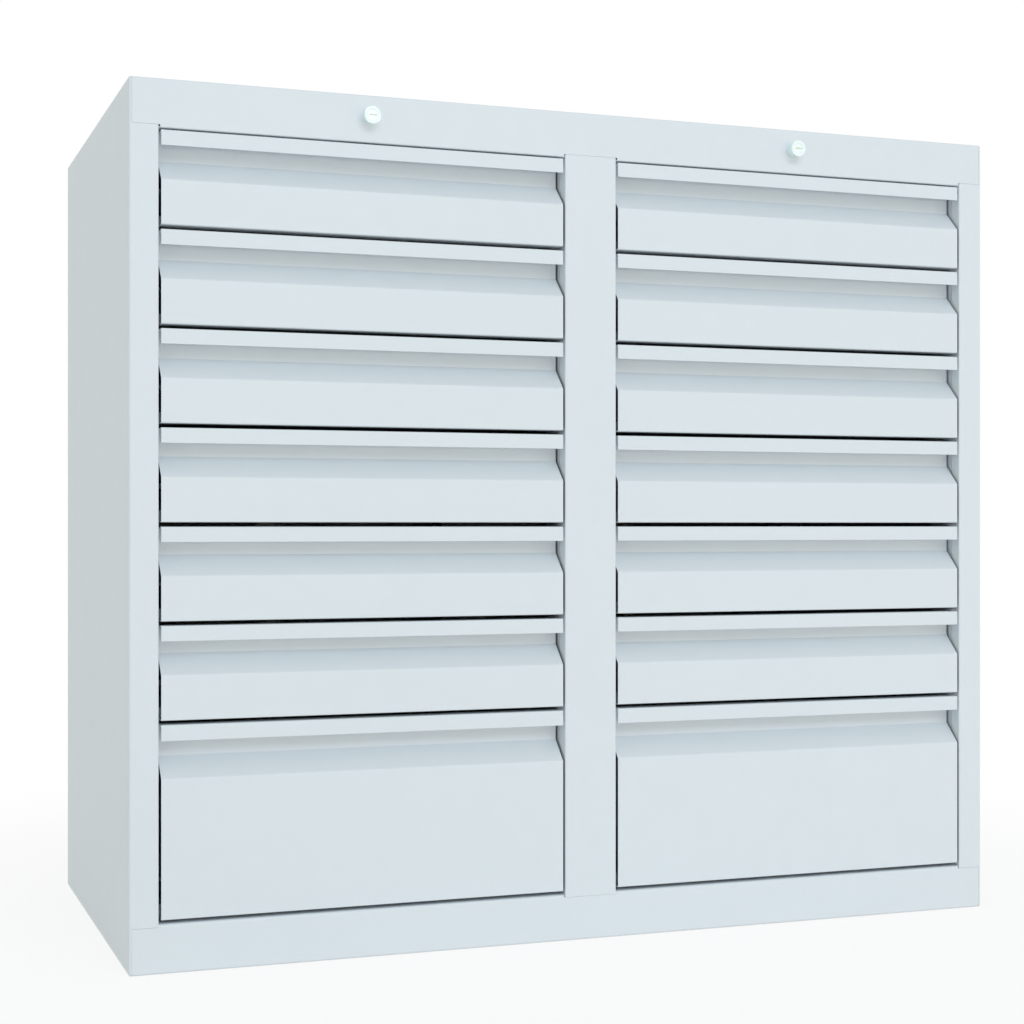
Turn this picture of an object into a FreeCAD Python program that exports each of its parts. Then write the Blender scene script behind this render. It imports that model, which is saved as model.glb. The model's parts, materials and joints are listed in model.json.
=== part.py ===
"""Sheet-steel cabinet with two columns of drawers for microscope slides.

Units are millimetres. X runs to the right, Y to the back and Z up. The origin is the middle of the
bounding box's underside. Inside a body, depth is counted from the plane of the drawer fronts.
"""
import FreeCAD, Part
import os
import re

import Sketcher

doc = FreeCAD.newDocument("SlideCabinet")

# ---------------------------------------------------------------- sizes

DRIVING = """
cabinet_width 1000      overall width
cabinet_depth 500       front plane to back
sheet 1                 steel of the shell
bend_radius 2.5         outer radius of the side pans' and the top's long bends
edge_strip 3            side pan's front strip beside the rails
fold_radius 1.5         outer radius of the small folds
base_radius 3           outer radius along the base rail's upper edge
seam_gap 0.2            between neighbouring shell panels
stile_width 30          front stile at each side
post_width 60           front post between the columns
top_rail_height 49.5    front rail over the drawers
base_rail_height 50     front rail under the drawers
return_depth 16         folded return behind stiles, post and rails
seam_step 3             how far the stiles run past the rails' edges
corner_notch 1.4        width of the bend relief beside each stile
notch_lift 0.9          rail's edge to the bend relief
shell_flange 16         welding flange round a side panel
row_pitch 99.8          from one shallow front to the next
row_gap 4.4             between two fronts
shallow_rows 6          shallow drawers in a column
deep_front_height 196   front of the deep drawer
top_gap 1.8             rail to the first front
bottom_gap 3.9          deep front to the base rail
front_side_gap 2.5      front to stile or post
front_sheet 1           steel of a drawer front
crease_radius 2.5       outer radius of the grip's slanted folds
grip_depth 22           front plane to the grip's back wall
lip_height 15.5         lip over a shallow grip
crease_drop 28.5        lip's top to the foot of the back wall
slope_drop 50           lip's top to the foot of the slope
deep_lip_height 16      the same three on the deep front
deep_crease_drop 33     wall
deep_slope_drop 54.5    slope
front_hem 12            upturned edge behind the front's foot
slide_height 35         cabinet member of a telescopic slide
slide_thickness 12.7    stile plane to drawer side
slide_sheet 1.2         steel of the slides
slide_nest_gap 0.6      between nested slide flanges
slide_side_gap 3.2      cabinet member's flange to the box's side
slide_web_gap 2         between the cabinet and middle members' webs
slide_rise 21.5         slide's middle over the front's lower edge
slide_front_gap 1       back of a front to the slides' front ends
slide_rear_space 26     slides' rear ends to the back
box_sheet 1             steel of a drawer box
box_rise 4              box's floor over the front's lower edge
box_rear_space 37       box's back wall to the cabinet's back
box_hem 6               height of the closed hem along the box's sides
shallow_box_height 66   sides of a shallow box
deep_box_height 162     sides of a deep box
channels 5              rows of slides in a shallow drawer
divider_sheet 0.8       steel of the partitions
divider_height 30       partitions between rows of slides
upright_width 40        slide uprights, front to back
upright_gap 1           returns of stiles and post to the front uprights
upright_rear_space 30   rear uprights to the back
lock_drop 23            lock's axis under the cabinet's top
lock_head 18            diameter of the lock's head
lock_stand_out 12       head in front of the rail
lock_barrel 16          diameter of the barrel through the rail
lock_barrel_length 20   barrel behind the front plane
lock_chamfer 0.4        round the head's rim
plug_size 11            diameter of the turning plug
plug_slack 0.05         running clearance round the plug
plug_sink 0.4           plug's face behind the head's rim
key_slot_length 8       key slot
key_slot_width 1.8      slot
key_slot_depth 9        slot
nut_flats 22            lock nut across flats
nut_thickness 4         lock nut
rod_size 6              lock rod's diameter
rod_slack 0.1           round the rod in its bearing
crank_radius 10         rod's axis to the crank pin's
crank_disc 26           crank disc's diameter
crank_thickness 4       crank disc
crank_pin 4             crank pin's diameter
crank_slack 0.5         over and under the pin in the bar's slot
bar_edge 2.5            lock bar beside its crank slot
bar_sheet 2             lock bar
bar_rear_space 16       front of the bar to the cabinet's back
bar_foot 95             floor to the bar's lower end
bar_top_space 5         bar's upper end to the cabinet's top
arm_width 16            arms over the boxes' back walls, and their tabs
arm_gap 1.4             arm over a back wall when locked
tab_clear 3             tab's tip over a back wall when open
tab_slack 1.5           tab to back wall when locked
guide_cheek 7           brackets beside the lock bar
guide_slack 0.4         round the bar in its guides
guide_foot 20           guide's foot on the back panel
low_guide_rise 25       bar's lower end to the lower guide
high_guide_drop 50.5    top arm to the upper guide
bearing_reach 14        flange of the rod's bearing bracket
bearing_width 24        bearing bracket
bearing_foot 14         bearing bracket under the rod's axis
"""

DERIVED = {
    "cabinet_height": "top_rail_height + base_rail_height + top_gap + bottom_gap"
                      " + shallow_rows * row_pitch + deep_front_height",
    "front_y": "(lock_stand_out - cabinet_depth) / 2",
    "upright_setback": "return_depth + upright_gap",
    "opening_width": "(cabinet_width - 2 * stile_width - post_width) / 2",
    "column_centre": "(post_width + opening_width) / 2",
    "opening_top": "cabinet_height - top_rail_height",
    "front_width": "opening_width - 2 * front_side_gap",
    "shallow_front_height": "row_pitch - row_gap",
    "box_width": "opening_width - 2 * slide_thickness",
    "box_front": "grip_depth + front_sheet",
    "box_length": "cabinet_depth - box_front - box_rear_space",
    "slide_setback": "box_front + slide_front_gap",
    "slide_length": "cabinet_depth - slide_setback - slide_rear_space",
    "channel_pitch": "(box_width - 2 * box_sheet + divider_sheet) / channels",
    "lock_level": "cabinet_height - lock_drop",
    "stile_foot": "base_rail_height - seam_step + seam_gap",
    "stile_head": "opening_top + seam_step - seam_gap",
    "bar_front": "cabinet_depth - bar_rear_space",
    "crank_front": "bar_front - 2 * crank_slack - crank_thickness - bar_sheet",
    "pin_offset": "crank_radius * sqrt(0.5)",
    "pin_room": "crank_pin / 2 + crank_slack",
    "bar_width": "2 * (crank_radius + pin_room + bar_edge)",
    "arm_rise": "2 * pin_offset + arm_gap",
    "tab_length": "arm_rise - tab_clear",
    "tab_back": "box_front + box_length - box_sheet - tab_slack",
    "guide_width": "bar_width + 2 * guide_cheek",
    "bearing_drop": "lock_drop - sheet + bearing_foot",
}

sizes = doc.addObject("Spreadsheet::Sheet", "Sizes")


def fill_sheet():
    """Write the driving and derived sizes into the sheet, one row each, with aliases."""
    rows = [line.split(None, 2) for line in DRIVING.strip().splitlines()]
    for number, (alias, value, note) in enumerate(rows, start=1):
        sizes.set(f"A{number}", alias)
        sizes.set(f"B{number}", value)
        sizes.set(f"C{number}", note)
        sizes.setAlias(f"B{number}", alias)
    for number, (alias, formula) in enumerate(DERIVED.items(), start=len(rows) + 1):
        sizes.set(f"A{number}", alias)
        sizes.set(f"B{number}", "=" + formula)
        sizes.setAlias(f"B{number}", alias)
    return [row[0] for row in rows] + list(DERIVED)


ALIASES = fill_sheet()
doc.recompute()


def bound(text):
    """An expression over the sheet, from one that names the aliases alone."""
    return re.sub(r"[a-z_]+", lambda word: "Sizes." + word.group()
                  if word.group() in ALIASES else word.group(), text)


def number(text):
    """The present value of such an expression."""
    value = sizes.evalExpression(bound(text))
    return float(getattr(value, "Value", value))


# ---------------------------------------------------------------- building blocks

TOLERANCE = 1e-4


def set_size(thing, name, text):
    thing.setExpression(name, bound(text))


def put(thing, side="0", depth="0", level="0"):
    """Place an object at a distance from the cabinet's middle, front plane and floor."""
    set_size(thing, "Placement.Base.x", side)
    set_size(thing, "Placement.Base.y", f"front_y + {depth}")
    set_size(thing, "Placement.Base.z", level)
    return thing


def new_body(name):
    body = doc.addObject("PartDesign::Body", name)
    body.AllowCompound = True
    return body


def origin_item(body, role):
    return next(item for item in body.Origin.OriginFeatures if item.Role == role)


def new_sketch(body, role, offset="0"):
    """A sketch on one of the body's own planes, moved along the plane's normal."""
    sketch = body.newObject("Sketcher::SketchObject", "Outline")
    sketch.AttachmentSupport = [(origin_item(body, role), "")]
    sketch.MapMode = "FlatFace"
    set_size(sketch, "AttachmentOffset.Base.z", offset)
    return sketch


def add_polygon(sketch, corners):
    """A closed outline whose corners are held by expressions, from the sketch's origin."""
    first = sketch.GeometryCount
    points = [FreeCAD.Vector(number(across), number(up), 0) for across, up in corners]
    for start, end in zip(points, points[1:] + points[:1]):
        sketch.addGeometry(Part.LineSegment(start, end), False)
    last = first + len(points) - 1
    for line in range(first, last + 1):
        following = first if line == last else line + 1
        sketch.addConstraint(Sketcher.Constraint("Coincident", line, 2, following, 1))
    for line, point, corner in zip(range(first, last + 1), points, corners):
        for kind, value, text in (("DistanceX", point.x, corner[0]), ("DistanceY", point.y, corner[1])):
            held = sketch.addConstraint(Sketcher.Constraint(kind, -1, 1, line, 1, value))
            set_size(sketch, f"Constraints[{held}]", text)
    return sketch


def add_rectangle(sketch, left, low, right, high):
    return add_polygon(sketch, [(left, low), (right, low), (right, high), (left, high)])


def add_circle(sketch, across, up, diameter):
    """A circle held by its centre and diameter."""
    centre = FreeCAD.Vector(number(across), number(up), 0)
    ring = sketch.addGeometry(Part.Circle(centre, FreeCAD.Vector(0, 0, 1), number(diameter) / 2), False)
    for kind, value, text in (("DistanceX", centre.x, across), ("DistanceY", centre.y, up)):
        held = sketch.addConstraint(Sketcher.Constraint(kind, -1, 1, ring, 3, value))
        set_size(sketch, f"Constraints[{held}]", text)
    held = sketch.addConstraint(Sketcher.Constraint("Diameter", ring, number(diameter)))
    set_size(sketch, f"Constraints[{held}]", diameter)
    return sketch


def pad(body, sketch, length, both_ways=False, reverse=False):
    feature = body.newObject("PartDesign::Pad", "Pad")
    feature.Profile = sketch
    feature.SideType = "Symmetric" if both_ways else "One side"
    feature.Reversed = reverse
    set_size(feature, "Length", length)
    doc.recompute()
    return feature


def pocket(body, sketch, length):
    """Cut a sketch into the body, against the sketch's normal, and make sure that it takes something."""
    before = body.Shape.Volume
    feature = body.newObject("PartDesign::Pocket", "Pocket")
    feature.Profile = sketch
    feature.Reversed = False
    set_size(feature, "Length", length)
    doc.recompute()
    if body.Shape.Volume > before - TOLERANCE:
        raise RuntimeError(f"{body.Label}: a pocket cuts nothing")
    return feature


def edges_along(shape, axis, place):
    """Names of the edges along one axis (0, 1 or 2) at a place in the plane across it."""
    across = [index for index in range(3) if index != axis]
    names = []
    for count, edge in enumerate(shape.Edges, start=1):
        ends = [vertex.Point for vertex in edge.Vertexes]
        near = [abs(end[index] - value) < TOLERANCE
                for end in ends for index, value in zip(across, place)]
        if len(ends) == 2 and all(near):
            names.append(f"Edge{count}")
    return names


def round_edges(body, axes, radius, places):
    """Round the edges along each of the axes at the places, which are written as expressions."""
    base = body.Tip
    names = []
    for axis, spots in zip(axes, places):
        for spot in spots:
            found = edges_along(base.Shape, axis, [number(text) for text in spot])
            if not found:
                raise RuntimeError(f"{body.Label}: no edge along axis {axis} at {spot}")
            names += found
    feature = body.newObject("PartDesign::Fillet", "Bend")
    feature.Base = (base, names)
    set_size(feature, "Radius", radius)
    doc.recompute()
    return feature


def round_along(body, axis, radius, spots):
    """Round the edges along a single axis."""
    return round_edges(body, [axis], radius, [spots])


def mirror_across(body, feature):
    """Repeat a feature on the other side of the body's own middle plane."""
    mirrored = body.newObject("PartDesign::Mirrored", "Pair")
    mirrored.Originals = [feature]
    mirrored.MirrorPlane = (origin_item(body, "YZ_Plane"), [""])
    body.Tip = mirrored
    doc.recompute()
    return mirrored


def new_box(name, width, depth, height):
    block = doc.addObject("Part::Box", name)
    set_size(block, "Length", width)
    set_size(block, "Width", depth)
    set_size(block, "Height", height)
    return block


NODES = []


def as_node(label, solids):
    """Make one named node of one solid or of a group of separate ones."""
    if len(solids) == 1:
        node = solids[0]
    else:
        node = doc.addObject("Part::Compound", label)
        node.Links = solids
    node.Label = label
    NODES.append(node)
    return node


# ---------------------------------------------------------------- shell

def rounded_block(name, inset, radius):
    """A block the size of a side panel, set in by a distance, with its long edges and corners round."""
    body = new_body(name)
    far = f"cabinet_depth - {inset}"
    high = f"cabinet_height - {inset}"
    outline = new_sketch(body, "XY_Plane", inset)
    add_rectangle(outline, inset, inset, "shell_flange", far)
    pad(body, outline, f"cabinet_height - 2 * {inset}")
    round_edges(body, (0, 1, 2), radius, [
        [(inset, inset), (inset, high), (far, inset), (far, high)],
        [(inset, inset), (inset, high)], [(inset, inset), (inset, far)]])
    return body


def side_panel():
    """Left side: a folded pan, with the front stile on its front flange."""
    body = rounded_block("left_side", "0", "bend_radius")
    hollow = body.newObject("PartDesign::Boolean", "Pan")
    hollow.Type = "Cut"
    hollow.addObject(rounded_block("left_side_hollow", "sheet", "bend_radius - sheet"))
    doc.recompute()

    stile = new_sketch(body, "XY_Plane", "stile_foot")
    add_polygon(stile, [
        ("shell_flange", "0"), ("stile_width", "0"), ("stile_width", "return_depth"),
        ("stile_width - sheet", "return_depth"), ("stile_width - sheet", "sheet"),
        ("shell_flange", "sheet")])
    pad(body, stile, "stile_head - stile_foot")
    round_along(body, 2, "fold_radius", [("stile_width", "0")])
    round_along(body, 2, "fold_radius - sheet", [("stile_width - sheet", "sheet")])

    strip = "edge_strip"
    rails = new_sketch(body, "XZ_Plane")
    add_rectangle(rails, strip, "stile_head", "shell_flange + sheet", "cabinet_height + sheet")
    add_rectangle(rails, strip, "0 - sheet", "shell_flange + sheet", "stile_foot")
    pocket(body, rails, "upright_setback")

    seat = new_sketch(body, "XY_Plane", "cabinet_height")
    add_rectangle(seat, strip, "sheet", "shell_flange + sheet", "cabinet_depth - bend_radius")
    pocket(body, seat, "sheet")
    ledge = new_sketch(body, "XY_Plane", "cabinet_height - 2 * sheet")
    add_rectangle(ledge, "bend_radius - sheet", "upright_setback", "shell_flange",
                  "cabinet_depth - bend_radius - seam_gap")
    pad(body, ledge, "sheet")
    return put(body, "0 - cabinet_width / 2")


def other_side(left):
    """Right side panel: the left one mirrored across the cabinet's middle."""
    right = doc.addObject("Part::Mirroring", "right_side")
    right.Source = left
    right.Base = FreeCAD.Vector(0, 0, 0)
    right.Normal = FreeCAD.Vector(1, 0, 0)
    return right


def notch_rail(body, low, high, relief):
    """Cut a rail back where the stiles and the post run past its edge, with a relief beside each.

    relief gives the lower and upper edge of the small openings that free the bends' ends.
    """
    outer = "cabinet_width / 2"
    for gap, (foot, head) in (("seam_gap", (low, high)), ("corner_notch", relief)):
        inner = f"(cabinet_width / 2 - stile_width - {gap})"
        post = f"(post_width / 2 + {gap})"
        cut = new_sketch(body, "XZ_Plane")
        add_rectangle(cut, f"0 - {outer}", foot, f"0 - {inner}", head)
        add_rectangle(cut, f"0 - {post}", foot, post, head)
        add_rectangle(cut, inner, foot, outer, head)
        pocket(body, cut, "upright_setback")


def trim_rear_corners(body, overlap, level, height):
    """Clear the side panels' rear flanges, from a distance inside the back plane, below a level."""
    cut = new_sketch(body, "XY_Plane", level)
    inner = "(cabinet_width / 2 - shell_flange - seam_gap)"
    for near, far in (("0 - cabinet_width / 2", f"0 - {inner}"), (inner, "cabinet_width / 2")):
        add_rectangle(cut, near, f"cabinet_depth - {overlap} - seam_gap", far, "cabinet_depth + sheet")
    pocket(body, cut, height)


def top_panel():
    """Top sheet with the front rail folded down and a rear flange."""
    body = new_body("top")
    rail = "opening_top"
    high = "cabinet_height"
    profile = new_sketch(body, "YZ_Plane")
    add_polygon(profile, [
        ("0", rail), ("0", high), ("cabinet_depth", high),
        ("cabinet_depth", f"{high} - shell_flange"), ("cabinet_depth - sheet", f"{high} - shell_flange"),
        ("cabinet_depth - sheet", f"{high} - sheet"), ("sheet", f"{high} - sheet"),
        ("sheet", f"{rail} + sheet"), ("return_depth", f"{rail} + sheet"), ("return_depth", rail)])
    pad(body, profile, "cabinet_width - 2 * edge_strip - 2 * seam_gap", both_ways=True)
    round_along(body, 0, "bend_radius", [("0", high), ("cabinet_depth", high)])
    inside = f"{high} - sheet"
    round_along(body, 0, "bend_radius - sheet", [("sheet", inside), ("cabinet_depth - sheet", inside)])
    round_along(body, 0, "fold_radius", [("0", rail)])
    round_along(body, 0, "fold_radius - sheet", [("sheet", f"{rail} + sheet")])
    notch_rail(body, f"{rail} - sheet", f"{rail} + seam_step",
               (f"{rail} + notch_lift", f"{rail} + seam_step"))
    trim_rear_corners(body, "bend_radius", f"{high} + sheet", "shell_flange + 2 * sheet")
    holes = new_sketch(body, "XZ_Plane")
    for side in ("0 - column_centre", "column_centre"):
        add_circle(holes, side, "lock_level", "lock_barrel + 2 * seam_gap")
    pocket(body, holes, "bend_radius")
    return put(body)


def bottom_panel():
    """Cabinet floor with the base rail folded down in front and a skirt behind."""
    body = new_body("bottom")
    high = "base_rail_height"
    profile = new_sketch(body, "YZ_Plane")
    add_polygon(profile, [
        ("0", "0"), ("0", high), ("cabinet_depth", high), ("cabinet_depth", "0"),
        ("cabinet_depth - sheet", "0"), ("cabinet_depth - sheet", f"{high} - sheet"),
        ("sheet", f"{high} - sheet"), ("sheet", "sheet"), ("return_depth", "sheet"),
        ("return_depth", "0")])
    pad(body, profile, "cabinet_width - 2 * edge_strip - 2 * seam_gap", both_ways=True)
    round_along(body, 0, "bend_radius", [("0", "0")])
    round_along(body, 0, "bend_radius - sheet", [("sheet", "sheet")])
    inside = f"{high} - sheet"
    round_along(body, 0, "base_radius", [("0", high)])
    round_along(body, 0, "base_radius - sheet", [("sheet", inside)])
    round_along(body, 0, "fold_radius", [("cabinet_depth", high)])
    round_along(body, 0, "fold_radius - sheet", [("cabinet_depth - sheet", inside)])
    notch_rail(body, f"{high} - seam_step", f"{high} + sheet",
               (f"{high} - seam_step", f"{high} - notch_lift"))
    trim_rear_corners(body, "sheet", f"{high} + sheet", f"{high} + 2 * sheet")
    return put(body)


def back_panel():
    """Flat back, welded to the insides of the rear flanges."""
    plate = new_box("back", "cabinet_width - 2 * bend_radius - 2 * seam_gap", "sheet",
                    "cabinet_height - base_rail_height - bend_radius - seam_gap")
    return put(plate, "bend_radius + seam_gap - cabinet_width / 2", "cabinet_depth - 2 * sheet",
               "base_rail_height")


def channel_outline(half_width, near, far):
    """Section of a channel that opens to the back, with its web at the front."""
    return [(f"0 - {half_width}", near), (half_width, near), (half_width, far),
            (f"{half_width} - sheet", far), (f"{half_width} - sheet", f"{near} + sheet"),
            (f"sheet - {half_width}", f"{near} + sheet"), (f"sheet - {half_width}", far),
            (f"0 - {half_width}", far)]


def centre_post():
    """Front post between the two columns, with its edges folded back."""
    body = new_body("post")
    half = "post_width / 2"
    section = new_sketch(body, "XY_Plane", "stile_foot")
    add_polygon(section, channel_outline(half, "0", "return_depth"))
    pad(body, section, "stile_head - stile_foot")
    round_along(body, 2, "fold_radius", [(half, "0"), (f"0 - {half}", "0")])
    round_along(body, 2, "fold_radius - sheet", [
        (f"{half} - sheet", "sheet"), (f"sheet - {half}", "sheet")])
    return put(body)


REAR_UPRIGHT = "cabinet_depth - upright_rear_space - upright_width"


def centre_upright(name, near):
    """Channel that carries the slides of both columns."""
    body = new_body(name)
    section = new_sketch(body, "XY_Plane")
    add_polygon(section, channel_outline("post_width / 2", "0", "upright_width"))
    pad(body, section, "cabinet_height - sheet - base_rail_height")
    return put(body, "0", near, "base_rail_height")


def side_uprights(near, name):
    """A channel against each side panel, with its web in the plane of the stile's edge."""
    body = new_body(name)
    wall = "(cabinet_width / 2 - sheet)"
    face = "(cabinet_width / 2 - stile_width)"
    section = new_sketch(body, "XY_Plane")
    add_polygon(section, [
        (f"0 - {wall}", "0"), (f"0 - {face}", "0"), (f"0 - {face}", "upright_width"),
        (f"0 - {wall}", "upright_width"), (f"0 - {wall}", "upright_width - sheet"),
        (f"0 - {face} - sheet", "upright_width - sheet"), (f"0 - {face} - sheet", "sheet"),
        (f"0 - {wall}", "sheet")])
    channel = pad(body, section, "cabinet_height - bend_radius - seam_gap - base_rail_height")
    mirror_across(body, channel)
    return put(body, "0", near, "base_rail_height")


# ---------------------------------------------------------------- rows of drawers

COLUMNS = (("left", "0 - column_centre"), ("right", "column_centre"))
SHALLOW = {"height": "shallow_front_height", "lip": "lip_height", "crease": "crease_drop",
           "slope": "slope_drop", "box": "shallow_box_height"}
DEEP = {"height": "deep_front_height", "lip": "deep_lip_height", "crease": "deep_crease_drop",
        "slope": "deep_slope_drop", "box": "deep_box_height"}


def rows():
    """Lower edge and kind of each front in a column, from the top down."""
    found = []
    for row in range(int(number("shallow_rows"))):
        found.append((f"(opening_top - top_gap + row_gap - {row + 1} * row_pitch)", SHALLOW))
    found.append(("(base_rail_height + bottom_gap)", DEEP))
    return found


def drawer_front(name, side, foot, kind):
    """One folded sheet: lip, grip recess with a slanted foot, flat front and a returned lower edge."""
    body = new_body(name)
    high = kind["height"]
    crease = f"({high} - {kind['crease']})"
    slope = f"({high} - {kind['slope']})"
    run = f"({kind['slope']} - {kind['crease']})"
    mitre = f"front_sheet * (sqrt(grip_depth ^ 2 + {run} ^ 2) - {run}) / grip_depth"
    profile = new_sketch(body, "YZ_Plane")
    add_polygon(profile, [
        ("0", f"{high} - {kind['lip']}"), ("0", high), ("box_front", high),
        ("box_front", f"{crease} - {mitre}"), ("front_sheet", f"{slope} - {mitre}"),
        ("front_sheet", "front_sheet"), ("grip_depth", "front_sheet"), ("grip_depth", "front_hem"),
        ("box_front", "front_hem"), ("box_front", "0"), ("0", "0"), ("0", slope),
        ("grip_depth", crease), ("grip_depth", f"{high} - front_sheet"),
        ("front_sheet", f"{high} - front_sheet"), ("front_sheet", f"{high} - {kind['lip']}")])
    pad(body, profile, "front_width", both_ways=True)
    round_along(body, 0, "fold_radius", [("0", high), ("box_front", high), ("0", "0")])
    round_along(body, 0, "crease_radius", [("0", slope), ("box_front", f"{crease} - {mitre}")])
    round_along(body, 0, "crease_radius - front_sheet", [
        ("grip_depth", crease), ("front_sheet", f"{slope} - {mitre}")])
    return put(body, side, "0", foot)


def drawer_tray(name, side, foot, kind):
    """Trough with hemmed sides, and the end walls welded between its sides."""
    body = new_body(name)
    half = "(box_width / 2)"
    inner = f"({half} - box_sheet)"
    hem = f"({half} - 2 * box_sheet)"
    pad(body, add_rectangle(new_sketch(body, "XY_Plane"), f"0 - {half}", "0", half, "box_length"),
        kind["box"])
    well = new_sketch(body, "XY_Plane", kind["box"])
    add_rectangle(well, f"0 - {inner}", "0", inner, "box_length")
    pocket(body, well, f"{kind['box']} - box_sheet")
    hems = new_sketch(body, "XY_Plane", f"{kind['box']} - box_hem")
    for outer, edge in ((f"0 - {half}", f"0 - {hem}"), (hem, half)):
        add_rectangle(hems, outer, "0", edge, "box_length")
    pad(body, hems, "box_hem")
    pieces = [put(body, side, "box_front", f"{foot} + box_rise")]
    width = f"2 * {hem}"
    for end, back in (("front", "box_front"), ("back", "box_front + box_length - box_sheet")):
        wall = new_box(f"{name}_{end}", width, "box_sheet", f"{kind['box']} - box_sheet")
        pieces.append(put(wall, f"{side} - {hem}", back, f"{foot} + box_rise + box_sheet"))
    return pieces


def dividers(name, side, foot):
    """Lengthwise partitions between the rows of slides."""
    plates = []
    for line in range(1, int(number("channels"))):
        plate = new_box(f"{name}_{line}", "divider_sheet", "box_length - 2 * box_sheet",
                        "divider_height")
        across = f"{side} - box_width / 2 + box_sheet - divider_sheet + {line} * channel_pitch"
        plates.append(put(plate, across, "box_front + box_sheet", f"{foot} + box_rise + box_sheet"))
    return plates


def slide_pair(name, side, foot, section):
    """One member of the telescopic slides at both sides of a drawer.

    section gives the web's face and the flange's end, from the middle of the drawer, and the height.
    """
    face, end, height = section
    inward = "slide_sheet" if number(face) > number(end) else "(0 - slide_sheet)"
    body = new_body(name)
    half = f"({height} / 2)"
    profile = new_sketch(body, "XZ_Plane")
    add_polygon(profile, [
        (face, f"0 - {half}"), (end, f"0 - {half}"), (end, f"slide_sheet - {half}"),
        (f"{face} - {inward}", f"slide_sheet - {half}"), (f"{face} - {inward}", f"{half} - slide_sheet"),
        (end, f"{half} - slide_sheet"), (end, half), (face, half)])
    member = pad(body, profile, "slide_length", reverse=True)
    mirror_across(body, member)
    return put(body, side, "slide_setback", f"{foot} + slide_rise")


MEMBER_STEP = "2 * (slide_sheet + slide_nest_gap)"
CABINET_MEMBER = ("opening_width / 2", "box_width / 2 + slide_side_gap", "slide_height")
MIDDLE_MEMBER = ("opening_width / 2 - slide_sheet - slide_web_gap",
                 "box_width / 2 + slide_sheet + slide_nest_gap", f"(slide_height - {MEMBER_STEP})")
DRAWER_MEMBER = ("box_width / 2",
                 "opening_width / 2 - 2 * slide_sheet - slide_web_gap - slide_nest_gap",
                 f"(slide_height - 2 * {MEMBER_STEP})")


def build_drawers():
    """Fronts, boxes and slides of both columns."""
    rails = []
    for column, side in COLUMNS:
        for row, (foot, kind) in enumerate(rows(), start=1):
            name = f"{column}_drawer_{row}"
            rails.append(slide_pair(f"{name}_rail", side, foot, CABINET_MEMBER))
            middle = slide_pair(f"{name}_middle", side, foot, MIDDLE_MEMBER)
            as_node(f"{name}_slide_middle", [middle])
            runner = slide_pair(f"{name}_runner", side, foot, DRAWER_MEMBER)
            box = drawer_tray(f"{name}_tray", side, foot, kind)
            if kind is SHALLOW:
                box += [runner] + dividers(f"{name}_divider", side, foot)
            else:
                as_node(f"{name}_runners", [runner])
            as_node(f"{name}_box", box)
            as_node(f"{name}_front", [drawer_front(f"{name}_face", side, foot, kind)])
    as_node("cabinet_rails", rails)


# ---------------------------------------------------------------- locks

def turned(body, corners):
    """A solid turned about the lock's axis, from half its section as (radius, depth)."""
    section = add_polygon(new_sketch(body, "XY_Plane"), corners)
    feature = body.newObject("PartDesign::Revolution", "Turned")
    feature.Profile = section
    feature.ReferenceAxis = (origin_item(body, "Y_Axis"), [""])
    feature.Angle = 360
    doc.recompute()
    return feature


def lock_housing(name, side):
    """Cylinder lock's body: a round head in front of the rail and a barrel through it."""
    body = new_body(name)
    bore = "(plug_size / 2 + plug_slack)"
    face = "0 - lock_stand_out"
    turned(body, [
        (bore, face), ("lock_head / 2 - lock_chamfer", face), ("lock_head / 2", f"{face} + lock_chamfer"),
        ("lock_head / 2", "0"), ("lock_barrel / 2", "0"), ("lock_barrel / 2", "lock_barrel_length"),
        (bore, "lock_barrel_length")])
    return put(body, side, "0", "lock_level")


def lock_plug(name, side):
    """Turning plug with the key slot, and the rod that ends in a crank at the back."""
    body = new_body(name)
    face = "plug_sink - lock_stand_out"
    turned(body, [
        ("0", face), ("plug_size / 2", face), ("plug_size / 2", "lock_barrel_length"),
        ("rod_size / 2", "lock_barrel_length"), ("rod_size / 2", "crank_front"), ("0", "crank_front")])
    slot = new_sketch(body, "XZ_Plane", "lock_stand_out")
    add_rectangle(slot, "0 - key_slot_length / 2", "0 - key_slot_width / 2",
                  "key_slot_length / 2", "key_slot_width / 2")
    pocket(body, slot, "plug_sink + key_slot_depth")
    disc = add_circle(new_sketch(body, "XZ_Plane", "0 - crank_front"), "0", "0", "crank_disc")
    pad(body, disc, "crank_thickness", reverse=True)
    pin = new_sketch(body, "XZ_Plane", "0 - crank_front - crank_thickness")
    add_circle(pin, "pin_offset", "pin_offset", "crank_pin")
    pad(body, pin, "bar_front + 2 * bar_sheet - crank_front - crank_thickness", reverse=True)
    return put(body, side, "0", "lock_level")


def lock_nut(name, side):
    """Hexagon nut that clamps the lock from behind the rail."""
    body = new_body(name)
    radius = "(nut_flats / sqrt(3))"
    half = f"{radius} / 2"
    flat = "nut_flats / 2"
    section = new_sketch(body, "XZ_Plane")
    add_polygon(section, [
        (radius, "0"), (half, flat), (f"0 - {half}", flat), (f"0 - {radius}", "0"),
        (f"0 - {half}", f"0 - {flat}"), (half, f"0 - {flat}")])
    add_circle(section, "0", "0", "lock_barrel + plug_slack")
    pad(body, section, "nut_thickness", reverse=True)
    return put(body, side, "sheet", "lock_level")


def arm_level(foot, kind):
    """Underside of the lock bar's arm over one box, at rest."""
    return f"{foot} + box_rise + {kind['box']} + arm_rise"


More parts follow.
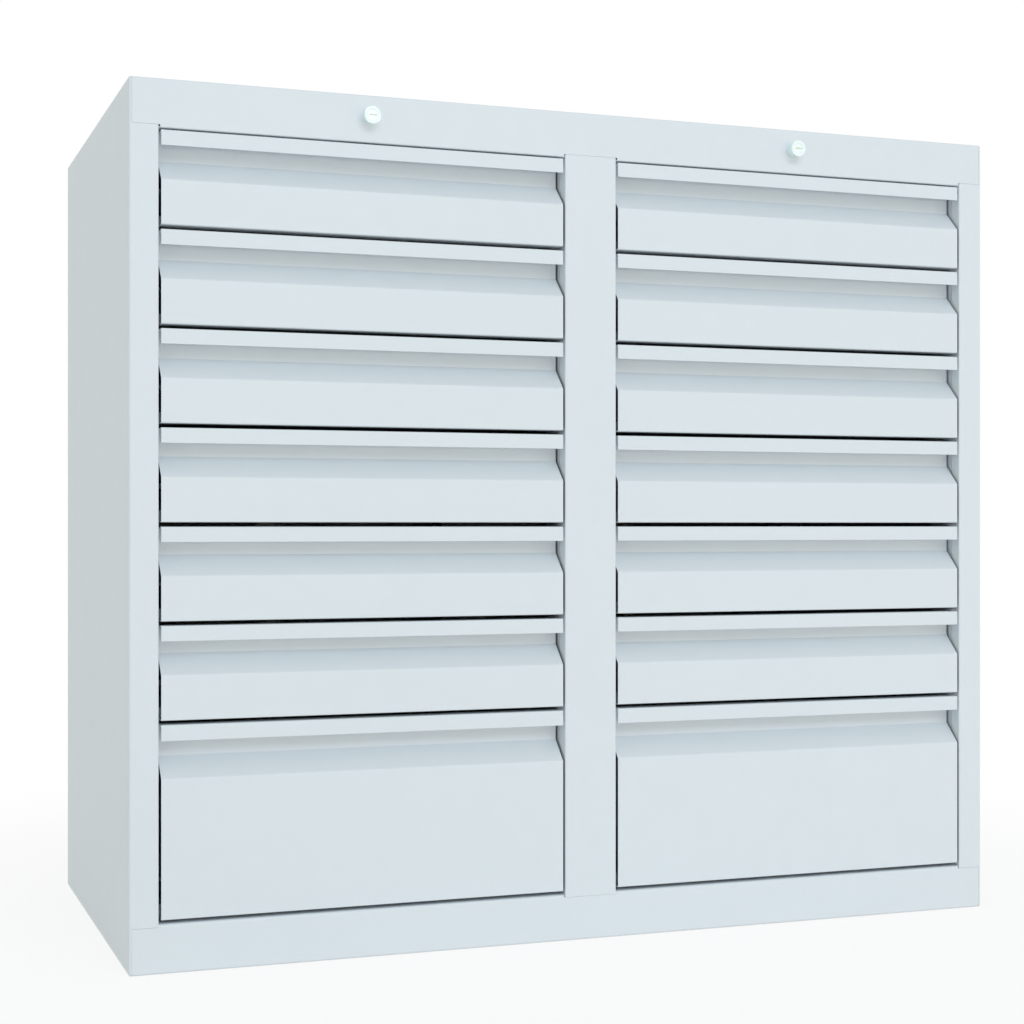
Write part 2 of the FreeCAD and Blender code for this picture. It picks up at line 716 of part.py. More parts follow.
def lock_bar(column, side):
    """Upright bar behind the boxes, with an arm over each back wall that ends in a folded tab."""
    strip = new_body(f"{column}_strip")
    half = "bar_width / 2"
    outline = new_sketch(strip, "XZ_Plane")
    add_rectangle(outline, f"0 - {half}", "bar_foot", half, "cabinet_height - bar_top_space")
    pad(strip, outline, "bar_sheet", reverse=True)
    slot = new_sketch(strip, "XZ_Plane")
    add_rectangle(slot, "pin_offset - pin_room", "lock_level + pin_offset - pin_room",
                  "crank_radius + pin_room", "lock_level + pin_offset + pin_room")
    pocket(strip, slot, "bar_sheet")
    parts = [put(strip, side, "bar_front")]
    for row, (foot, kind) in enumerate(rows(), start=1):
        arm = new_body(f"{column}_arm_{row}")
        front = "tab_back - bar_sheet"
        profile = new_sketch(arm, "YZ_Plane")
        add_polygon(profile, [
            (front, "0 - tab_length"), ("tab_back", "0 - tab_length"), ("tab_back", "0"),
            ("bar_front", "0"), ("bar_front", "bar_sheet"), (front, "bar_sheet")])
        pad(arm, profile, "arm_width", both_ways=True)
        round_along(arm, 0, "bar_sheet", [(front, "bar_sheet")])
        parts.append(put(arm, side, "0", arm_level(foot, kind)))
    return parts


def bar_guide(name, side, level):
    """Bracket on the back panel with a window that the lock bar slides in."""
    body = new_body(name)
    near = "(bar_front - bar_sheet - 2 * guide_slack)"
    wall = "(cabinet_depth - 2 * sheet)"
    profile = new_sketch(body, "YZ_Plane")
    add_polygon(profile, [
        (near, "0"), (wall, "0"), (wall, "0 - guide_foot"), (f"{wall} - bar_sheet", "0 - guide_foot"),
        (f"{wall} - bar_sheet", "0 - bar_sheet"), (near, "0 - bar_sheet")])
    pad(body, profile, "guide_width", both_ways=True)
    window = new_sketch(body, "XY_Plane")
    half = "(bar_width / 2 + guide_slack)"
    add_rectangle(window, f"0 - {half}", "bar_front - guide_slack", half,
                  "bar_front + bar_sheet + guide_slack")
    pocket(body, window, "2 * bar_sheet")
    return put(body, side, "0", level)


def rod_bearing(name, side):
    """Bracket under the top sheet that carries the rod in front of its crank."""
    body = new_body(name)
    near = "(crank_front - 2 * bar_sheet)"
    profile = new_sketch(body, "YZ_Plane")
    add_polygon(profile, [
        (f"{near} + bar_sheet", "0"), (f"{near} - bearing_reach", "0"),
        (f"{near} - bearing_reach", "0 - bar_sheet"), (near, "0 - bar_sheet"),
        (near, "0 - bearing_drop"), (f"{near} + bar_sheet", "0 - bearing_drop")])
    pad(body, profile, "bearing_width", both_ways=True)
    bore = new_sketch(body, "XZ_Plane", f"2 * bar_sheet - crank_front")
    add_circle(bore, "0", "sheet - lock_drop", "rod_size + 2 * rod_slack")
    pocket(body, bore, "2 * bar_sheet")
    return put(body, side, "0", "cabinet_height - sheet")


def build_locks():
    """Both locks, with their nuts, bars and brackets."""
    housings = []
    nuts = []
    brackets = []
    for column, side in COLUMNS:
        housings.append(lock_housing(f"{column}_housing", side))
        as_node(f"{column}_lock_plug", [lock_plug(f"{column}_plug", side)])
        as_node(f"{column}_lock_bar", lock_bar(column, side))
        nuts.append(lock_nut(f"{column}_nut", side))
        brackets.append(bar_guide(f"{column}_low_guide", side, "bar_foot + low_guide_rise"))
        top_arm = arm_level(*rows()[0])
        brackets.append(bar_guide(f"{column}_high_guide", side, f"{top_arm} - high_guide_drop"))
        brackets.append(rod_bearing(f"{column}_bearing", side))
    as_node("lock_housings", housings)
    as_node("lock_nuts", nuts)
    as_node("lock_brackets", brackets)


# ---------------------------------------------------------------- assembly

left_side = side_panel()
as_node("left_side_panel", [left_side])
as_node("right_side_panel", [other_side(left_side)])
as_node("top_panel", [top_panel()])
as_node("bottom_panel", [bottom_panel()])
as_node("back_panel", [back_panel()])
as_node("centre_post", [centre_post()])
as_node("centre_uprights", [centre_upright("front_upright", "upright_setback"),
                            centre_upright("rear_upright", REAR_UPRIGHT)])
as_node("side_uprights", [side_uprights("upright_setback", "front_side_uprights"),
                          side_uprights(REAR_UPRIGHT, "rear_side_uprights")])
build_drawers()
build_locks()
doc.recompute()

for item in doc.Objects:
    if "Invalid" in item.State or "Error" in item.State:
        raise RuntimeError(f"{item.Label} didn't recompute: {item.State}")
for node in NODES:
    if node.Shape.isNull() or not node.Shape.isValid() or not node.Shape.Solids:
        raise RuntimeError(f"{node.Label} has no valid solid")

os.makedirs("parts", exist_ok=True)
for node in NODES:
    node.Shape.exportStep(f"parts/{node.Label}.step")
print(len(NODES), "nodes,", sum(len(node.Shape.Solids) for node in NODES), "solids")
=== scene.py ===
import json
import math

import bmesh
import bpy
from mathutils import Matrix, Vector

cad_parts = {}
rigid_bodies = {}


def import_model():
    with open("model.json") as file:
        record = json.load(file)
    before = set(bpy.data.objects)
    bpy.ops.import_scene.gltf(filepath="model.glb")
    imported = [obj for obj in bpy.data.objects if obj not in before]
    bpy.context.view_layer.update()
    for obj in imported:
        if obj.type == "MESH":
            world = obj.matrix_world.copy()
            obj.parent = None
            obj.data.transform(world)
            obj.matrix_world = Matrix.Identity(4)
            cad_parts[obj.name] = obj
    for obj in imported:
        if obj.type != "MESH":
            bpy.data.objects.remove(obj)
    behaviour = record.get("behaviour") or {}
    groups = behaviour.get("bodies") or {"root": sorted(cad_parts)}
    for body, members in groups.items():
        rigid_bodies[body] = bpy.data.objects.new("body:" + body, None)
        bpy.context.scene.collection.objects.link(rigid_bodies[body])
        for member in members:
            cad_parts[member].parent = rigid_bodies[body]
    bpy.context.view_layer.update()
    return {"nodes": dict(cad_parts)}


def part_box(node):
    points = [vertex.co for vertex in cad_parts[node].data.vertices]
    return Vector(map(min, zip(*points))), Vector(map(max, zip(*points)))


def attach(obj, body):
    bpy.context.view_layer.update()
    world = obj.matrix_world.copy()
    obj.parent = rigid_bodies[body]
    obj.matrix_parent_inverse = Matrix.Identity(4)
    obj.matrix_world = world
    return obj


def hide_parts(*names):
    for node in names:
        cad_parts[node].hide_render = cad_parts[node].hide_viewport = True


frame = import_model()
nodes = frame["nodes"]


# ---------------------------------------------------------------------------------------
# Shell: two side pans that carry the front stiles, the top with its front rail, the floor
# with the base rail, and the post between the columns. Each is one 1 mm steel sheet,
# folded, spot-welded to its neighbours and powder coated light grey with a satin gloss.

class Value:
    """A socket that takes part in sums, each sum a Math node."""

    def __init__(self, finish, socket):
        self.finish = finish
        self.socket = socket

    def math(self, operation, first, second):
        return self.finish.node("ShaderNodeMath", {"operation": operation}, {0: first, 1: second})

    def __add__(self, other):
        return self.math("ADD", self, other)

    def __radd__(self, other):
        return self.math("ADD", other, self)

    def __mul__(self, other):
        return self.math("MULTIPLY", self, other)

    def __rmul__(self, other):
        return self.math("MULTIPLY", other, self)


class Nodes:
    """The shader nodes of one material or of the room."""

    def __init__(self, tree):
        self.tree = tree

    def feed(self, made, inputs):
        """Sets or links the inputs of a node."""
        for key, value in inputs.items():
            if isinstance(value, Value):
                self.tree.links.new(value.socket, made.inputs[key])
            else:
                made.inputs[key].default_value = value

    def node(self, kind, settings, inputs, out=0):
        """A new node of a kind: its settings first, then its inputs; gives one output."""
        made = self.tree.nodes.new(kind)
        for key, value in settings.items():
            setattr(made, key, value)
        self.feed(made, inputs)
        return Value(self, made.outputs[out])


class Finish(Nodes):
    """A procedural finish, with a Principled shader that its nodes feed."""

    def __init__(self, name, **constants):
        self.material = bpy.data.materials.new(name)
        self.material.use_nodes = True
        super().__init__(self.material.node_tree)
        self.shader = self.tree.nodes["Principled BSDF"]
        self.feed(self.shader, {key.replace("_", " "): value for key, value in constants.items()})

    def place(self, stretch=(1, 1, 1)):
        """Object coordinates in metres, stretched along the axes."""
        here = self.node("ShaderNodeTexCoord", {}, {}, out="Object")
        return self.node("ShaderNodeMapping", {}, {"Vector": here, "Scale": stretch})

    def noise(self, per_metre, stretch=(1, 1, 1), detail=2.0):
        """Cloudy noise from 0 to 1, with so many clouds to a metre."""
        return self.node("ShaderNodeTexNoise", {},
                         {"Vector": self.place(stretch), "Scale": per_metre, "Detail": detail})

    def tint(self, mask, dark, light):
        """A colour between two, by a mask from 0 to 1."""
        return self.node("ShaderNodeMix", {"data_type": "RGBA"},
                         {0: mask, 6: (*dark, 1), 7: (*light, 1)}, out=2)

    def relief(self, height, depth):
        """Bump of a height from 0 to 1, its depth in metres."""
        return self.node("ShaderNodeBump", {},
                         {"Height": height, "Distance": depth, "Strength": 1})


def powder_coat(name, colour, roughness=0.42):
    """Cured powder: a faint orange peel over a fine tooth, and hardly any drift in shade."""
    coat = Finish(name, IOR=1.5)
    drift = coat.noise(2.2, detail=3.0) * 0.6 + coat.noise(38.0) * 0.4
    deep = tuple(0.965 * part for part in colour)
    pale = tuple(min(1.0, 1.03 * part) for part in colour)
    peel = coat.noise(310.0, detail=1.0)
    tooth = coat.noise(1500.0)
    coat.feed(coat.shader, {
        "Base Color": coat.tint(drift, deep, pale),
        "Roughness": roughness - 0.05 + 0.1 * coat.noise(24.0, detail=3.0) + 0.04 * tooth,
        "Normal": coat.relief(peel * 0.7 + tooth * 0.3, 0.00006)})
    return coat


def wear(node, finish):
    """Gives a frame node its finish, with its mesh as it is."""
    mesh = nodes[node].data
    mesh.materials.clear()
    mesh.materials.append(finish.material)


def start(name):
    """Names the primitive that was just added and puts its size and place into its mesh."""
    piece = bpy.context.object
    piece.name = piece.data.name = name
    bpy.ops.object.transform_apply(location=True, rotation=True, scale=True)
    return piece


def apply_all(piece):
    """Applies the modifiers of a piece, in their order."""
    bpy.context.view_layer.objects.active = piece
    for modifier in list(piece.modifiers):
        bpy.ops.object.modifier_apply(modifier=modifier.name)


def round_shading(piece, angle=35.0):
    """Bends shade round and flats stay flat, and the edges over the angle stay crisp."""
    bpy.ops.object.select_all(action="DESELECT")
    piece.select_set(True)
    bpy.context.view_layer.objects.active = piece
    bpy.ops.object.shade_smooth_by_angle(angle=math.radians(angle))
    weighted = piece.modifiers.new("flats", "WEIGHTED_NORMAL")
    weighted.keep_sharp = True
    apply_all(piece)


SAME_POINT = 0.00001  # metres
SAME_PLANE = 0.5  # degrees


def blank(node, name):
    """A copy of a frame node with its corners joined and its flats whole."""
    bpy.ops.object.select_all(action="DESELECT")
    piece = bpy.data.objects.new(name, nodes[node].data.copy())
    bpy.context.scene.collection.objects.link(piece)
    piece.select_set(True)
    bpy.context.view_layer.objects.active = piece
    bpy.ops.object.mode_set(mode="EDIT")
    bpy.ops.mesh.select_all(action="SELECT")
    bpy.ops.mesh.remove_doubles(threshold=SAME_POINT)
    bpy.ops.mesh.dissolve_limited(angle_limit=math.radians(SAME_PLANE))
    bpy.ops.object.mode_set(mode="OBJECT")
    return piece


def dress(piece, body, finish):
    """Shades a piece, gives it its finish and fixes it to its body."""
    round_shading(piece)
    piece.data.materials.clear()
    piece.data.materials.append(finish.material)
    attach(piece, body)


def pressed(node, body, finish):
    """A copy of a frame node whose rolled bends shade round, in the node's place."""
    piece = blank(node, f"{node}_pressed")
    dress(piece, body, finish)
    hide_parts(node)


shell_coat = powder_coat("shell_powder_coat", (0.757, 0.808, 0.835))
for panel in ("left_side_panel", "right_side_panel", "top_panel", "bottom_panel", "centre_post"):
    pressed(panel, "carcass", shell_coat)
wear("back_panel", shell_coat)


# ---------------------------------------------------------------------------------------
# Uprights: channels behind the post and the stiles that carry the slides, folded from
# the shell's sheet, spot-welded to the floor and top and coated with them.

for upright in ("centre_uprights", "side_uprights"):
    wear(upright, shell_coat)


# ---------------------------------------------------------------------------------------
# Telescopic slides: three nested members rolled from strip, zinc plated. The outer one is
# screwed to the uprights, the middle one runs on balls, the inner one is fixed to the box.

def zinc_plate(name, colour, rolled=(1, 1, 0.04)):
    """Bright zinc on cold-rolled sheet: cloudy crystals over faint rolling lines."""
    zinc = Finish(name, Metallic=1.0)
    cloud = zinc.node("ShaderNodeTexVoronoi", {"feature": "F1"},
                      {"Vector": zinc.place(), "Scale": 90.0, "Randomness": 1.0}, out="Color")
    grey = zinc.node("ShaderNodeRGBToBW", {}, {"Color": cloud})
    lines = zinc.noise(900.0, rolled, detail=3.0)
    shade = grey * 0.45 + lines * 0.35 + zinc.noise(12.0) * 0.2
    zinc.feed(zinc.shader, {
        "Base Color": zinc.tint(shade, tuple(0.82 * part for part in colour),
                                tuple(min(1.0, 1.16 * part) for part in colour)),
        "Roughness": 0.24 + 0.16 * grey + 0.12 * lines,
        "Normal": zinc.relief(lines, 0.00003)})
    return zinc


STRIP_CORNER = 0.0004


def roll_edges(piece):
    """Rounds the corners of a rolled strip."""
    bpy.ops.object.select_all(action="DESELECT")
    piece.select_set(True)
    roll = piece.modifiers.new("rolled corners", "BEVEL")
    roll.width, roll.segments = STRIP_CORNER, 2
    roll.limit_method, roll.angle_limit = "ANGLE", math.radians(60)
    apply_all(piece)


slide_zinc = zinc_plate("slide_zinc_plate", (0.47, 0.51, 0.53), rolled=(1, 0.02, 1))
wear("cabinet_rails", slide_zinc)
DEEP_ROW = 7
rows = range(1, DEEP_ROW + 1)
for column in ("left", "right"):
    for row in rows:
        node = f"{column}_drawer_{row}_slide_middle"
        middle = blank(node, f"{node}_rolled")
        roll_edges(middle)
        dress(middle, f"{column}_drawer_{row}_middle", slide_zinc)
        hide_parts(node)


# ---------------------------------------------------------------------------------------
# Drawer boxes: a trough with hemmed sides and welded end walls, powder coated, and in the
# shallow ones four lengthwise partitions that make five rows for slides on edge. The
# slides' inner members are riveted to the sides.

def select_faces(chosen):
    """In edit mode, selects only the faces whose middle passes the test."""
    bpy.ops.mesh.select_all(action="DESELECT")
    bpy.ops.mesh.select_mode(type="FACE")
    mesh = bmesh.from_edit_mesh(bpy.context.object.data)
    for face in mesh.faces:
        if chosen(face.calc_center_median()):
            face.select_set(True)
    bmesh.update_edit_mesh(bpy.context.object.data)


def part_off(piece, chosen, name):
    """Makes one new piece of all the closed shells that have a chosen face."""
    bpy.ops.object.mode_set(mode="EDIT")
    select_faces(chosen)
    bpy.ops.mesh.select_linked()
    bpy.ops.mesh.separate(type="SELECTED")
    bpy.ops.object.mode_set(mode="OBJECT")
    taken, = [one for one in bpy.context.selected_objects if one is not piece]
    taken.name = taken.data.name = name
    return taken


box_coat = powder_coat("box_powder_coat", (0.62, 0.66, 0.68), roughness=0.46)
BOX_HALF = 0.2073  # half the width over its sides
CLEAR_OF_BOX = 0.0002
for column in ("left", "right"):
    for row in rows:
        node, body = f"{column}_drawer_{row}_box", f"{column}_drawer_{row}"
        tray_low, tray_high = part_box(node)
        centre = (tray_low[0] + tray_high[0]) / 2
        tray = blank(node, f"{node}_pressed")
        if row < DEEP_ROW:
            runners = part_off(
                tray, lambda middle: abs(middle.x - centre) > BOX_HALF + CLEAR_OF_BOX,
                f"{body}_runners_rolled")
        else:
            runners = blank(f"{body}_runners", f"{body}_runners_rolled")
            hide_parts(f"{body}_runners")
        roll_edges(runners)
        dress(runners, body, slide_zinc)
        dress(tray, body, box_coat)
        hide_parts(node)


# ---------------------------------------------------------------------------------------
# Rivets: domed aluminium blind rivets, three through each side of a box into the inner
# member of its slide, and two through the back into the foot of each lock bar's guide.

def select_edges(chosen):
    """In edit mode, selects only the edges whose middle passes the test."""
    bpy.ops.mesh.select_all(action="DESELECT")
    bpy.ops.mesh.select_mode(type="EDGE")
    mesh = bmesh.from_edit_mesh(bpy.context.object.data)
    for edge in mesh.edges:
        if chosen((edge.verts[0].co + edge.verts[1].co) / 2):
            edge.select_set(True)
    bmesh.update_edit_mesh(bpy.context.object.data)


def new_rivet(head, rise, hole):
    """One domed head on the origin that points to +X, with the hole its pin left."""
    bpy.ops.object.select_all(action="DESELECT")
    bpy.ops.mesh.primitive_cylinder_add(vertices=20, radius=head / 2, depth=rise,
                                        location=(rise / 2, 0, 0), rotation=(0, math.pi / 2, 0))
    rivet = start("rivet_pattern")
    bpy.ops.object.mode_set(mode="EDIT")
    select_faces(lambda middle: middle.x > rise * 0.99)
    bpy.ops.mesh.inset(thickness=(head - hole) / 2)
    bpy.ops.mesh.extrude_region_move(TRANSFORM_OT_translate={"value": (-rise * 0.6, 0, 0)})
    select_edges(lambda middle: middle.x > rise * 0.99
                 and math.hypot(middle.y, middle.z) > head * 0.45)
    bpy.ops.mesh.bevel(offset=rise * 0.8, segments=3, affect="EDGES")
    bpy.ops.object.mode_set(mode="OBJECT")
    round_shading(rivet, 50.0)
    rivet.data.materials.append(rivet_aluminium.material)
    return rivet


def set_out(pattern, places, name, body):
    """Copies of a pattern at places, each a turn about Z in degrees and a point, as one piece."""
    bpy.ops.object.select_all(action="DESELECT")
    for turn, point in places:
        one = pattern.copy()
        one.data = pattern.data.copy()
        one.data.transform(Matrix.Translation(point) @ Matrix.Rotation(math.radians(turn), 4, "Z"))
        bpy.context.scene.collection.objects.link(one)
        one.select_set(True)
        bpy.context.view_layer.objects.active = one
    bpy.ops.object.join()
    piece = bpy.context.object
    piece.name = piece.data.name = name
    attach(piece, body)
    return piece


rivet_aluminium = Finish("rivet_aluminium", Metallic=1.0)
drawn = rivet_aluminium.noise(1800.0, detail=3.0)
rivet_aluminium.feed(rivet_aluminium.shader, {
    "Base Color": rivet_aluminium.tint(drawn, (0.66, 0.67, 0.68), (0.80, 0.81, 0.82)),
    "Roughness": 0.26 + 0.18 * drawn,
    "Normal": rivet_aluminium.relief(drawn, 0.00001)})
BOX_WALL = 0.001
ALONG_BOX = (0.045, 0.22, 0.395)  # from the box's front end
rivet = new_rivet(head=0.0064, rise=0.0009, hole=0.002)
for column in ("left", "right"):
    for row in rows:
        tray_low, tray_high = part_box(f"{column}_drawer_{row}_box")
        middle_low, middle_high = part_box(f"{column}_drawer_{row}_slide_middle")
        centre = (tray_low[0] + tray_high[0]) / 2
        wall = BOX_HALF - BOX_WALL
        level = (middle_low[2] + middle_high[2]) / 2
        places = []
        for along in ALONG_BOX:
            places.append((0, Vector((centre - wall, tray_low[1] + along, level))))
            places.append((180, Vector((centre + wall, tray_low[1] + along, level))))
        rivets = set_out(rivet, places, f"{column}_drawer_{row}_rivets", f"{column}_drawer_{row}")

GUIDE_FEET = (0.107, 0.7753)  # levels of the two guides' feet
BESIDE_BAR = 0.014
back_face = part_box("back_panel")[1][1]
places = []
for column in ("left", "right"):
    bar_low, bar_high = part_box(f"{column}_lock_bar")
    for aside in (-BESIDE_BAR, BESIDE_BAR):
        for level in GUIDE_FEET:
            places.append((90, Vector(((bar_low[0] + bar_high[0]) / 2 + aside, back_face, level))))
set_out(rivet, places, "back_rivets", "carcass")
bpy.data.objects.remove(rivet)


# ---------------------------------------------------------------------------------------
# Levelling feet: four black polyamide pads on zinc-plated screws, set through the floor
# panel near its corners and turned in until the base rail stands on the ground.

polyamide = Finish("foot_black_polyamide", IOR=1.53)
grit = polyamide.noise(1400.0)
polyamide.feed(polyamide.shader, {
    "Base Color": polyamide.tint(grit, (0.018, 0.018, 0.019), (0.035, 0.035, 0.036)),
    "Roughness": 0.42 + 0.18 * grit,
    "Normal": polyamide.relief(grit, 0.00004)})
screw_zinc = zinc_plate("foot_zinc_plate", (0.52, 0.55, 0.56), rolled=(1, 1, 30))
NEAR = 0.0001  # an edge or face this close to a place is at it
PAD_RADIUS = 0.016
PAD_HEIGHT = 0.009
SHOULDER, SHOULDER_RISE = 0.0045, 0.005
NECK, NECK_RISE = 0.002, 0.004
MOULDED_EDGE = 0.0009
FLOOR_SHEET = 0.001
FOOT_ASIDE = 0.44
FOOT_FRONT, FOOT_REAR = -0.2, 0.21
floor_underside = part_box("bottom_panel")[1][2] - FLOOR_SHEET
corners = [Vector((side, depth, 0)) for side in (-FOOT_ASIDE, FOOT_ASIDE)
           for depth in (FOOT_FRONT, FOOT_REAR)]

bpy.ops.object.select_all(action="DESELECT")
bpy.ops.mesh.primitive_cylinder_add(vertices=32, radius=PAD_RADIUS, depth=PAD_HEIGHT,
                                    location=(0, 0, PAD_HEIGHT / 2))
pad = start("foot_pad_pattern")
bpy.ops.object.mode_set(mode="EDIT")
select_faces(lambda middle: middle.z > PAD_HEIGHT * 0.99)
for inwards, up in ((SHOULDER, SHOULDER_RISE), (NECK, NECK_RISE)):
    bpy.ops.mesh.inset(thickness=inwards)
    bpy.ops.mesh.extrude_region_move(TRANSFORM_OT_translate={"value": (0, 0, up)})
bpy.ops.object.mode_set(mode="OBJECT")
rim = pad.modifiers.new("moulded edges", "BEVEL")
rim.width, rim.segments = MOULDED_EDGE, 3
rim.limit_method, rim.angle_limit = "ANGLE", math.radians(50)
apply_all(pad)
round_shading(pad, 50.0)
pad.data.materials.append(polyamide.material)
set_out(pad, [(0, corner) for corner in corners], "levelling_pads", "carcass")

SCREW_RADIUS = 0.004
SHANK = 0.004
SHANK_TOP = 0.02
THREAD_PITCH = 0.00125
THREAD_ROOT = 0.84  # of the screw's radius
bpy.ops.object.select_all(action="DESELECT")
bpy.ops.mesh.primitive_cylinder_add(vertices=16, radius=SCREW_RADIUS, depth=SHANK,
                                    location=(0, 0, SHANK_TOP - SHANK / 2))
screw = start("foot_screw_pattern")
bpy.ops.object.mode_set(mode="EDIT")
select_faces(lambda middle: middle.z > SHANK_TOP - NEAR)
for turn in range(int((floor_underside - SHANK_TOP) / THREAD_PITCH)):
    for scale in (THREAD_ROOT, 1 / THREAD_ROOT):
        bpy.ops.mesh.extrude_region_move(
            TRANSFORM_OT_translate={"value": (0, 0, THREAD_PITCH / 2)})
        bpy.ops.transform.resize(value=(scale, scale, 1), center_override=(0, 0, SHANK_TOP))
bpy.ops.object.mode_set(mode="OBJECT")
round_shading(screw, 40.0)
screw.data.materials.append(screw_zinc.material)
set_out(screw, [(0, corner) for corner in corners], "levelling_screws", "carcass")

NUT_RADIUS = 0.0075  # over its corners
NUT_HEIGHT = 0.0065
NUT_RIM, NUT_DISH = 0.0027, 0.001
NUT_CHAMFER = 0.0005
bpy.ops.object.select_all(action="DESELECT")
bpy.ops.mesh.primitive_cylinder_add(vertices=6, radius=NUT_RADIUS, depth=NUT_HEIGHT,
                                    location=(0, 0, floor_underside - NUT_HEIGHT / 2))
nut = start("foot_nut_pattern")
bpy.ops.object.mode_set(mode="EDIT")
select_faces(lambda middle: middle.z < floor_underside - NUT_HEIGHT * 0.99)
bpy.ops.mesh.inset(thickness=NUT_RIM)
bpy.ops.mesh.extrude_region_move(TRANSFORM_OT_translate={"value": (0, 0, NUT_DISH)})
bpy.ops.object.mode_set(mode="OBJECT")
rim = nut.modifiers.new("chamfers", "BEVEL")
rim.width, rim.segments = NUT_CHAMFER, 2
rim.limit_method, rim.angle_limit = "ANGLE", math.radians(50)
apply_all(nut)
round_shading(nut, 40.0)
nut.data.materials.append(screw_zinc.material)
set_out(nut, [(0, corner) for corner in corners], "levelling_nuts", "carcass")
for pattern in (pad, screw, nut):
    bpy.data.objects.remove(pattern)


# ---------------------------------------------------------------------------------------
# Drawer fronts: one sheet each, folded six times into a lip, a grip recess that is open
# at both ends, a slanted foot, the flat face and a returned lower edge. Powder coated.

front_coat = powder_coat("front_powder_coat", (0.757, 0.808, 0.835))
FRONT_SHEET = 0.001
GRIP_DEPTH = 0.022
FOOT_RETURN = 0.023
FOOT_HEM = 0.012
CREASE_RADIUS = 0.0025  # over the slanted folds
FOLD_RADIUS = 0.0015  # over the square folds
CUT_EDGE = 0.0002
# Kind, its pattern, the lip's height, and the head to the crease and to the slope's foot.
FRONTS = (("shallow", "left_drawer_1_front", 0.0155, 0.0285, 0.050),
          ("deep", "left_drawer_7_front", 0.016, 0.033, 0.0545))


def fold_on(*runs):
    """Extrudes the selected edge through runs of (back, up) in metres, a fold at each."""
    for back, up in runs:
        bpy.ops.mesh.extrude_region_move(TRANSFORM_OT_translate={"value": (0, back, up)})


def round_fold(across, depth, level, turn, radius):
    """Rounds the fold at this place, which turns the sheet by so many degrees."""
    select_edges(lambda middle: abs(middle.x - across) < 10 * NEAR
                 and abs(middle.y - depth) < NEAR and abs(middle.z - level) < NEAR)
    bpy.ops.mesh.bevel(offset=radius * math.tan(math.radians(turn) / 2), segments=6,
                       affect="EDGES")


fronts = {}
for kind, pattern, lip, crease, slope in FRONTS:
    low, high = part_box(pattern)
    centre = (low[0] + high[0]) / 2
    face, foot, head = low[1], low[2], high[2]
    back_wall = face + GRIP_DEPTH
    bpy.ops.object.select_all(action="DESELECT")
    bpy.ops.mesh.primitive_plane_add(size=1, rotation=(math.pi / 2, 0, 0),
                                     location=(centre, face, (foot + head - slope) / 2))
    bpy.context.object.scale = (high[0] - low[0], head - slope - foot, 1)
    front = start(f"{kind}_front_pattern")
    bpy.ops.object.mode_set(mode="EDIT")
    select_edges(lambda middle: middle.z > head - slope - NEAR)
    fold_on((GRIP_DEPTH, slope - crease), (0, crease - FRONT_SHEET),
            (FRONT_SHEET - GRIP_DEPTH, 0), (0, FRONT_SHEET - lip))
    select_edges(lambda middle: middle.z < foot + NEAR)
    fold_on((FOOT_RETURN, 0), (0, FOOT_HEM))
    slant = math.degrees(math.atan2(GRIP_DEPTH, slope - crease))
    inner_crease, inner_fold = CREASE_RADIUS - FRONT_SHEET, FOLD_RADIUS - FRONT_SHEET
    round_fold(centre, face, head - slope, slant, CREASE_RADIUS)
    round_fold(centre, back_wall, head - crease, slant, inner_crease)
    round_fold(centre, back_wall, head - FRONT_SHEET, 90, inner_fold)
    round_fold(centre, face + FRONT_SHEET, head - FRONT_SHEET, 90, inner_fold)
    round_fold(centre, face, foot, 90, FOLD_RADIUS)
    round_fold(centre, face + FOOT_RETURN, foot, 90, FOLD_RADIUS)
    bpy.ops.object.mode_set(mode="OBJECT")
    sheet = front.modifiers.new("sheet", "SOLIDIFY")
    sheet.thickness, sheet.offset, sheet.use_even_offset = FRONT_SHEET, -1, True
    edge = front.modifiers.new("cut edge", "BEVEL")
    edge.width, edge.segments = CUT_EDGE, 2
    edge.limit_method, edge.angle_limit = "ANGLE", math.radians(60)
    apply_all(front)
    round_shading(front)
    front.data.materials.append(front_coat.material)
    fronts[kind] = (front, Vector(low))

for column in ("left", "right"):
    for row in rows:
        node = f"{column}_drawer_{row}_front"
        pattern, start_at = fronts["deep" if row == DEEP_ROW else "shallow"]
        front = pattern.copy()
        front.data = pattern.data.copy()
        front.data.transform(Matrix.Translation(Vector(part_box(node)[0]) - start_at))
        front.name = front.data.name = f"{node}_folded"
        bpy.context.scene.collection.objects.link(front)
        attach(front, f"{column}_drawer_{row}")
        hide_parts(node)
for kind in fronts:
    bpy.data.objects.remove(fronts[kind][0])


# ---------------------------------------------------------------------------------------
# Locks: a turned and chromed housing in the top rail over each column, a nickel-plated
# plug with a brass shutter in its key slot, a nut behind the rail, and the zinc-plated
# bar that it drops, which slides in guides on the back.

chrome = Finish("lock_chrome_plate", Metallic=1.0)
haze = chrome.noise(60.0, detail=3.0)
turned = chrome.noise(2500.0)
chrome.feed(chrome.shader, {
    "Base Color": chrome.tint(haze, (0.83, 0.94, 0.925), (0.87, 0.97, 0.955)),
    "Roughness": 0.07 + 0.08 * haze + 0.05 * turned,
    "Normal": chrome.relief(turned, 0.000005)})
pressed("lock_housings", "carcass", chrome)

